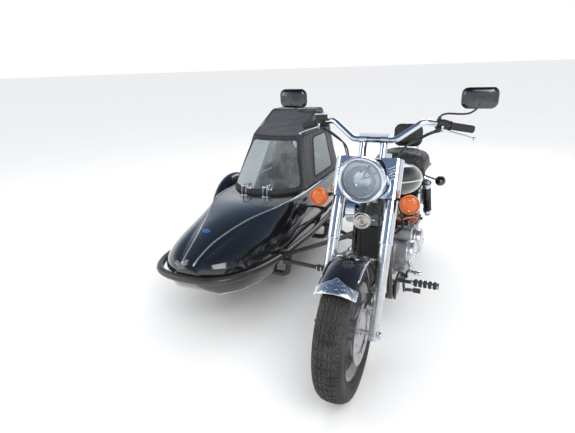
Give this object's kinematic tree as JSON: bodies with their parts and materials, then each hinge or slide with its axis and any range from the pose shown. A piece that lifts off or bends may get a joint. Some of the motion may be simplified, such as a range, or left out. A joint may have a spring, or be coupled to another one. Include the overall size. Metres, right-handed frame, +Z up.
{
  "type": "motorcycle with sidecar",
  "caption": "Cruiser motorcycle with a boat-nosed passenger sidecar under a folding hood; steering, wheels, hood and side stand move.",
  "frame": {"origin": "ground level under the middle of the bounding box", "axes": "+Z up, -Y the way it drives, +X to the rider's left, so the sidecar is on -X"},
  "size_m": [1.9655, 2.5189, 1.333],
  "materials": {
    "tyre": "matt",
    "cast_alloy": "satin",
    "chrome": "polished",
    "brushed_steel": "brushed",
    "black_paint": "semi-gloss",
    "black_gloss": "gloss",
    "lamp_glass": "clear, fluted",
    "black_plastic": "satin",
    "amber_lens": "gloss",
    "red_lens": "gloss",
    "rubber": "matt",
    "radiator_black": "matt",
    "copper_plastic": "satin",
    "black_leather": "satin",
    "canvas": "matt",
    "clear_screen": "clear"
  },
  "bodies": {
    "rig": {"frame": "black_paint", "radiator": "radiator_black", "engine_cases": "cast_alloy", "cylinders": "cast_alloy", "air_cleaner": "chrome", "ignition_coils": "copper_plastic", "exhaust": "chrome", "fuel_tank": "black_gloss", "tank_cap": "chrome", "saddle": "black_leather", "backrest": "black_leather", "backrest_frame": "chrome", "rear_fender": "black_gloss", "rear_lamps": "chrome", "rear_lenses": "red_lens", "swingarm": "black_paint", "rear_dampers": "chrome", "footrests": "black_paint", "side_covers": "black_gloss", "stand_bracket": "black_paint", "chair_frame": "black_paint", "chair_body": "black_gloss", "chair_trim": "chrome", "chair_seat": "black_leather", "chair_fender": "black_gloss", "hinge_posts": "chrome"},
    "steering": {"fork_sliders": "cast_alloy", "fork_covers": "chrome", "yokes": "black_paint", "nacelle": "chrome", "headlamp": "chrome", "headlamp_glass": "lamp_glass", "front_indicators": "black_plastic", "front_lenses": "amber_lens", "handlebar": "chrome", "grips": "rubber", "hand_controls": "black_plastic", "mirrors": "chrome", "front_fender": "black_gloss", "fender_tip": "chrome", "front_caliper": "cast_alloy", "horn": "black_paint"},
    "front_wheel": {"front_tyre": "tyre", "front_rim": "cast_alloy", "front_disc": "brushed_steel"},
    "rear_wheel": {"rear_tyre": "tyre", "rear_rim": "cast_alloy", "rear_discs": "brushed_steel"},
    "chair_wheel": {"chair_tyre": "tyre", "chair_rim": "chrome"},
    "hood": {"hood_canvas": "canvas", "windscreen": "clear_screen", "hood_windows": "clear_screen", "hinge_arms": "chrome"},
    "side_stand": {"side_stand": "black_paint"}
  },
  "joints": [
    {"name": "steering_head", "type": "hinge", "parent": "rig", "child": "steering", "pos_m": [0.464, -0.61735, 0.87514], "axis": [0, 0.454, 0.891], "range_deg": [-35, 35]},
    {"name": "front_wheel_spin", "type": "hinge", "parent": "steering", "child": "front_wheel", "pos_m": [0.464, -0.94, 0.319], "axis": [1, 0, 0], "continuous": true},
    {"name": "rear_wheel_spin", "type": "hinge", "parent": "rig", "child": "rear_wheel", "pos_m": [0.464, 0.67, 0.315], "axis": [1, 0, 0], "continuous": true},
    {"name": "chair_wheel_spin", "type": "hinge", "parent": "rig", "child": "chair_wheel", "pos_m": [-0.923, 0.45, 0.3], "axis": [1, 0, 0], "continuous": true},
    {"name": "hood_tilt", "type": "hinge", "parent": "rig", "child": "hood", "pos_m": [-0.466, -0.024, 0.666], "axis": [1, 0, 0], "range_deg": [0, 55]},
    {"name": "side_stand_swing", "type": "hinge", "parent": "rig", "child": "side_stand", "pos_m": [0.606, -0.18, 0.24], "axis": [-1, 0, 0], "range_deg": [0, 58]}
  ]
}
